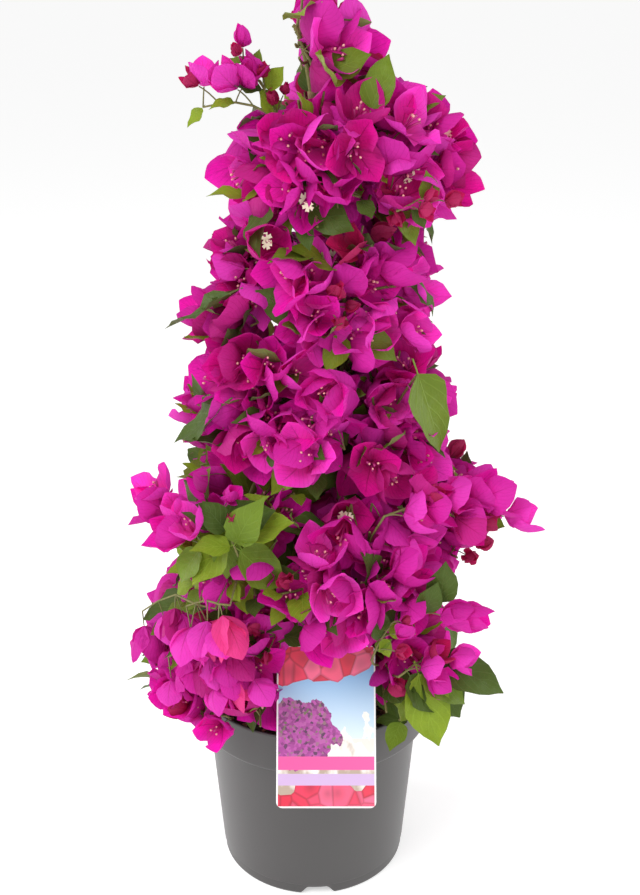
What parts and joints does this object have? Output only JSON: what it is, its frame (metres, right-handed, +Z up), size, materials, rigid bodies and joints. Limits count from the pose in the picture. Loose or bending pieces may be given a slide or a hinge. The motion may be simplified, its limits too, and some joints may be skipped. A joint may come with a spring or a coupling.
{
  "type": "potted bougainvillea bush",
  "caption": "Flowering bougainvillea bush trained as a narrow column of magenta bracts in a round grey nursery pot, with a hanging card on a peg.",
  "frame": {"origin": "centre of the flat pad under the pot, on the surface that the pot stands on", "axes": "+Z up along the pot's axis; -Y is the side with the card; +X to the right seen from that side"},
  "size_m": [0.2669, 0.2428, 0.6089],
  "materials": {
    "pot": "satin moulded grey plastic with faint scuffs",
    "soil": "dark moist peat with fibres and bark crumbs",
    "card": "printed and laminated plastic card",
    "peg": "dark green moulded plastic",
    "bark": "rough olive brown bark",
    "foliage": "papery magenta bracts among soft green leaves"
  },
  "bodies": {
    "root": {"pot": "pot", "soil": "soil", "card": "card", "card_peg": "peg", "trunk": "bark", "stem_right": "bark", "stem_left": "bark", "bough_4_2": "bark", "bough_4_4": "bark", "bough_5_1": "bark", "bough_5_2": "bark", "bough_5_3": "bark", "bough_5_4": "bark", "bough_5_5": "bark", "bough_6_1": "bark", "bough_6_2": "bark", "bough_6_3": "bark", "bough_6_4": "bark", "bough_6_5": "bark", "bough_7_1": "bark", "bough_7_2": "bark", "bough_7_3": "bark", "bough_7_4": "bark", "bough_7_5": "bark", "foliage_1_1": "foliage", "foliage_2_1": "foliage", "foliage_2_2": "foliage", "foliage_2_3": "foliage", "foliage_3_1": "foliage", "foliage_3_2": "foliage", "foliage_3_3": "foliage", "foliage_4_1": "foliage", "foliage_4_2": "foliage", "foliage_4_3": "foliage", "foliage_4_4": "foliage", "foliage_5_1": "foliage", "foliage_5_2": "foliage", "foliage_5_3": "foliage", "foliage_5_4": "foliage", "foliage_5_5": "foliage", "foliage_6_1": "foliage", "foliage_6_2": "foliage", "foliage_6_3": "foliage", "foliage_6_4": "foliage", "foliage_6_5": "foliage", "foliage_7_1": "foliage", "foliage_7_2": "foliage", "foliage_7_3": "foliage", "foliage_7_4": "foliage", "foliage_7_5": "foliage"}
  },
  "joints": []
}
